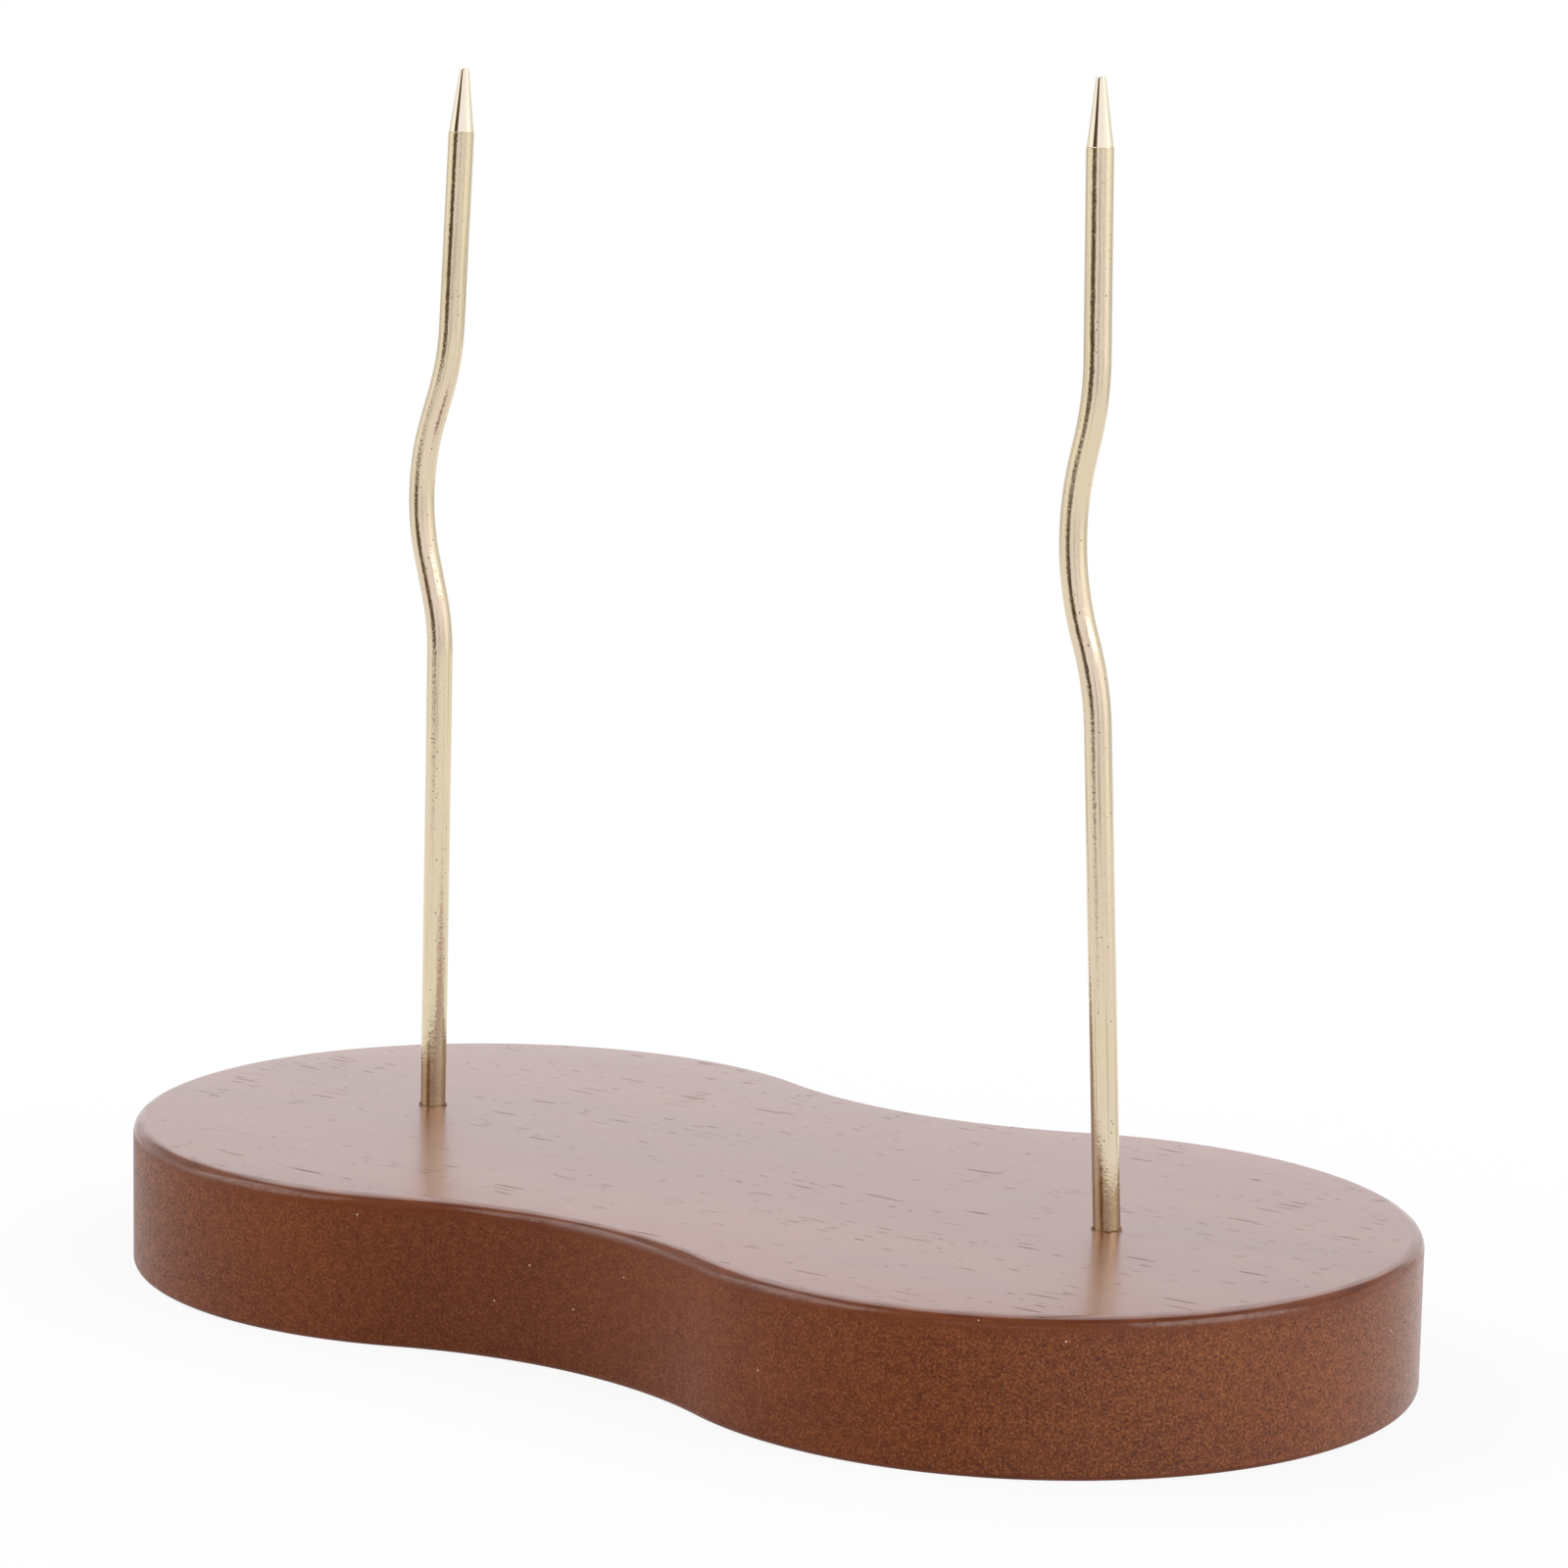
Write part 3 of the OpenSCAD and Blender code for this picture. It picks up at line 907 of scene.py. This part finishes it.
def light_tent(scene):
    """White tent round the object, as a strength for each direction. As light it is dim in front
    and overhead, brighter behind, and has a soft box on the right and on the left. What the rods
    mirror has a low ring with seams, a dark and warm opening at the front left that pale bars
    cross, boxes on the right, on the left and behind, and a round box overhead. The camera sees
    plain white."""
    world = bpy.data.worlds.new("light_tent")
    world.use_nodes = True
    world.node_tree.nodes.clear()
    wire = Wire(world.node_tree)
    way = wire.coordinates("Generated")
    x, y, z = way.channels()
    azimuth = heading(x, y) * TO_DEGREES
    rise = wire.math("ARCSINE", z) * TO_DEGREES

    def patch(centre, half_width, low, high, soft, strength):
        """A strength inside a patch of directions, which fades out over its soft rim."""
        half = soft / 2
        off = abs(wire.math("WRAP", azimuth - centre, 180.0, -180.0))
        inside = 1 - off.fade(half_width - half, half_width + half)
        above = rise.fade(low - half, low + half)
        return inside * above * (1 - rise.fade(high - half, high + half)) * strength

    over = rise.fade(50, 64)
    light = LIT_FRONT + patch(*LIT_BACK) - over * LIT_DIP
    light = light + patch(*LIT_RIGHT) + patch(*LIT_LEFT)

    ring = RING + rise.fade(-4, 6) * RING_GAIN + patch(*RING_GLOW)
    ring = (1 - rise.fade(16, 26)) * ring
    for seam in RING_SEAMS:
        ring = ring * (1 - patch(*seam))
    lower_bar = 1 - rise.fade(-8, -6)
    upper_bar = rise.fade(1.5, 3.5) * (1 - rise.fade(7, 10))
    opening = patch(*OPENING) * (1 - (lower_bar | upper_bar) * (1 - patch(*SLIT)))
    towards = direction(OVERHEAD_AZIMUTH, OVERHEAD_RISE)
    overhead = wire.node("ShaderNodeVectorMath", {"operation": "DOT_PRODUCT"},
                         {0: way, 1: towards}, output="Value")
    shown = (SHOWN_FRONT + ring - over * SHOWN_DIP) * (1 - opening * OPENING_DEPTH)
    shown = shown | patch(*BACK_BOX) * (BACK_STRENGTH + rise.fade(16, 50) * BACK_GAIN)
    shown = shown | overhead.fade(*OVERHEAD_RIM) * OVERHEAD_STRENGTH
    shown = shown | patch(*RIGHT_BOX) | patch(*LEFT_BOX)

    camera, direct = seen_rays(wire)
    strength = light * (1 - direct) + (shown * (1 - camera) + camera) * direct
    mirrored = direct * (1 - camera)
    hue = (patch(*FRONT_TINT) * mirrored).mixed((1, 1, 1), FRONT_HUE)
    hue = (patch(*BACK_TINT) * mirrored).mixed(hue, BACK_HUE)
    hue = (opening * mirrored).mixed(hue, OPENING_HUE)
    glow = wire.node("ShaderNodeBackground", None, {"Color": hue, "Strength": strength})
    wire.node("ShaderNodeOutputWorld", None, {"Surface": glow})
    scene.world = world


def aim_camera(scene, studio):
    """A camera at the photograph's angle, turned about its own view by the roll."""
    back = direction(studio.azimuth, studio.elevation)
    across = (-back).cross(Vector((0, 0, 1))).normalized()
    up = across.cross(-back)
    turned = cos(studio.roll) * across + sin(studio.roll) * up
    upright = cos(studio.roll) * up - sin(studio.roll) * across
    data = bpy.data.cameras.new("camera")
    data.sensor_width = 36.0
    data.lens = studio.focal_pixels / studio.picture_pixels * data.sensor_width
    data.clip_start = 0.01
    camera = bpy.data.objects.new("camera", data)
    place = Matrix((turned, upright, back)).transposed().to_4x4()
    place.translation = Vector((studio.aim_x, 0, studio.aim_z)) + back * studio.distance
    camera.matrix_world = place
    scene.collection.objects.link(camera)
    scene.camera = camera


# Operators

class BILLSPIKE_OT_stage(bpy.types.Operator):
    """Set up the floor, the light and the camera"""
    bl_idname = "billspike.stage"
    bl_label = "Set the Stage"

    def execute(self, context):
        settings = context.scene.bill_spike
        radius = settings.studio.floor_r
        rings = np.linspace(0, radius, FLOOR_RINGS)
        around = np.linspace(0, 2 * pi, FLOOR_SIDES + 1)
        reach, turn = np.meshgrid(rings, around, indexing="ij")
        points = np.stack([reach * np.cos(turn), reach * np.sin(turn), 0 * reach], -1)
        material = floor_material(settings.finish, radius)
        floor = new_piece("floor", [(points, flat_uv(points))], material)
        light_tent(context.scene)
        aim_camera(context.scene, settings.studio)
        context.scene.view_settings.view_transform = "Standard"
        return {"FINISHED"}


def both_sockets(settings):
    """The sockets of the left and the right spike."""
    return [Socket(settings, side) for side in (-1, 1)]


class BILLSPIKE_OT_core(bpy.types.Operator):
    """Make the fibreboard core with its two sockets"""
    bl_idname = "billspike.core"
    bl_label = "Make the Core"

    def execute(self, context):
        settings = context.scene.bill_spike
        board = Board(settings)
        patches = core_patches(board, both_sockets(settings))
        piece = new_piece("stained_core", patches, fibreboard_material(settings.finish, board.top))
        stand_for(piece, "board_core")
        return {"FINISHED"}


class BILLSPIKE_OT_veneers(bpy.types.Operator):
    """Make the face veneer and the balancing veneer"""
    bl_idname = "billspike.veneers"
    bl_label = "Make the Veneers"

    def execute(self, context):
        settings = context.scene.bill_spike
        board = Board(settings)
        sockets = both_sockets(settings)
        material = veneer_material(settings.finish, board.top)
        face_rim = rim_material("lacquered_rim", settings.finish, 1.0)
        lower_rim = rim_material("worn_rim", settings.finish, 0.12)
        patches = top_veneer_patches(board, sockets)
        face = new_piece("face_veneer", patches, material, face_rim)
        stand_for(face, "top_veneer")
        patches = bottom_veneer_patches(board, sockets)
        balancing = new_piece("balancing_veneer", patches, material, lower_rim)
        stand_for(balancing, "bottom_veneer")
        return {"FINISHED"}


class BILLSPIKE_OT_spikes(bpy.types.Operator):
    """Make the two bent and pointed rods"""
    bl_idname = "billspike.spikes"
    bl_label = "Make the Spikes"

    def execute(self, context):
        settings = context.scene.bill_spike
        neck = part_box("left_spike")[1].z - settings.spikes.point_l
        material = plating_material(settings.finish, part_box("top_veneer")[1].z, neck)
        for side, node in ((-1, "left_spike"), (1, "right_spike")):
            patch = rod_patch(settings.spikes, Socket(settings, side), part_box(node)[1].z)
            stand_for(new_piece("plated_" + node, [patch], material), node)
        return {"FINISHED"}


class BILLSPIKE_OT_glue(bpy.types.Operator):
    """Make the cured adhesive in the two sockets"""
    bl_idname = "billspike.glue"
    bl_label = "Make the Adhesive"

    def execute(self, context):
        settings = context.scene.bill_spike
        material = adhesive_material(settings.finish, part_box("top_veneer")[1].z)
        for side, node in ((-1, "left_socket_glue"), (1, "right_socket_glue")):
            piece = new_piece("cured_" + node, [glue_patch(Socket(settings, side))], material)
            stand_for(piece, node)
        return {"FINISHED"}


class BILLSPIKE_PT_panel(bpy.types.Panel):
    """Lists the bill spike's settings and operators"""
    bl_label = "Bill Spike"
    bl_space_type = "VIEW_3D"
    bl_region_type = "UI"
    bl_category = "Bill Spike"

    def draw(self, context):
        settings = context.scene.bill_spike
        for name in BillSpike.__annotations__:
            group = getattr(settings, name)
            box = self.layout.box()
            box.label(text=name.capitalize())
            for setting in type(group).__annotations__:
                box.prop(group, setting)
        for operator in OPERATORS:
            self.layout.operator(operator.bl_idname)


OPERATORS = (
    BILLSPIKE_OT_stage, BILLSPIKE_OT_core, BILLSPIKE_OT_veneers, BILLSPIKE_OT_spikes,
    BILLSPIKE_OT_glue)
CLASSES = (
    BoardSizes, SpikeSizes, LeftBends, RightBends, Finish, Studio, BillSpike, *OPERATORS,
    BILLSPIKE_PT_panel)


def register():
    for cls in CLASSES:
        bpy.utils.register_class(cls)
    bpy.types.Scene.bill_spike = PointerProperty(type=BillSpike)


def unregister():
    del bpy.types.Scene.bill_spike
    for cls in reversed(CLASSES):
        bpy.utils.unregister_class(cls)


def main():
    """Registers the classes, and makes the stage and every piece."""
    register()
    bpy.ops.billspike.stage()
    bpy.ops.billspike.core()
    bpy.ops.billspike.veneers()
    bpy.ops.billspike.spikes()
    bpy.ops.billspike.glue()


if __name__ == "__main__":
    main()
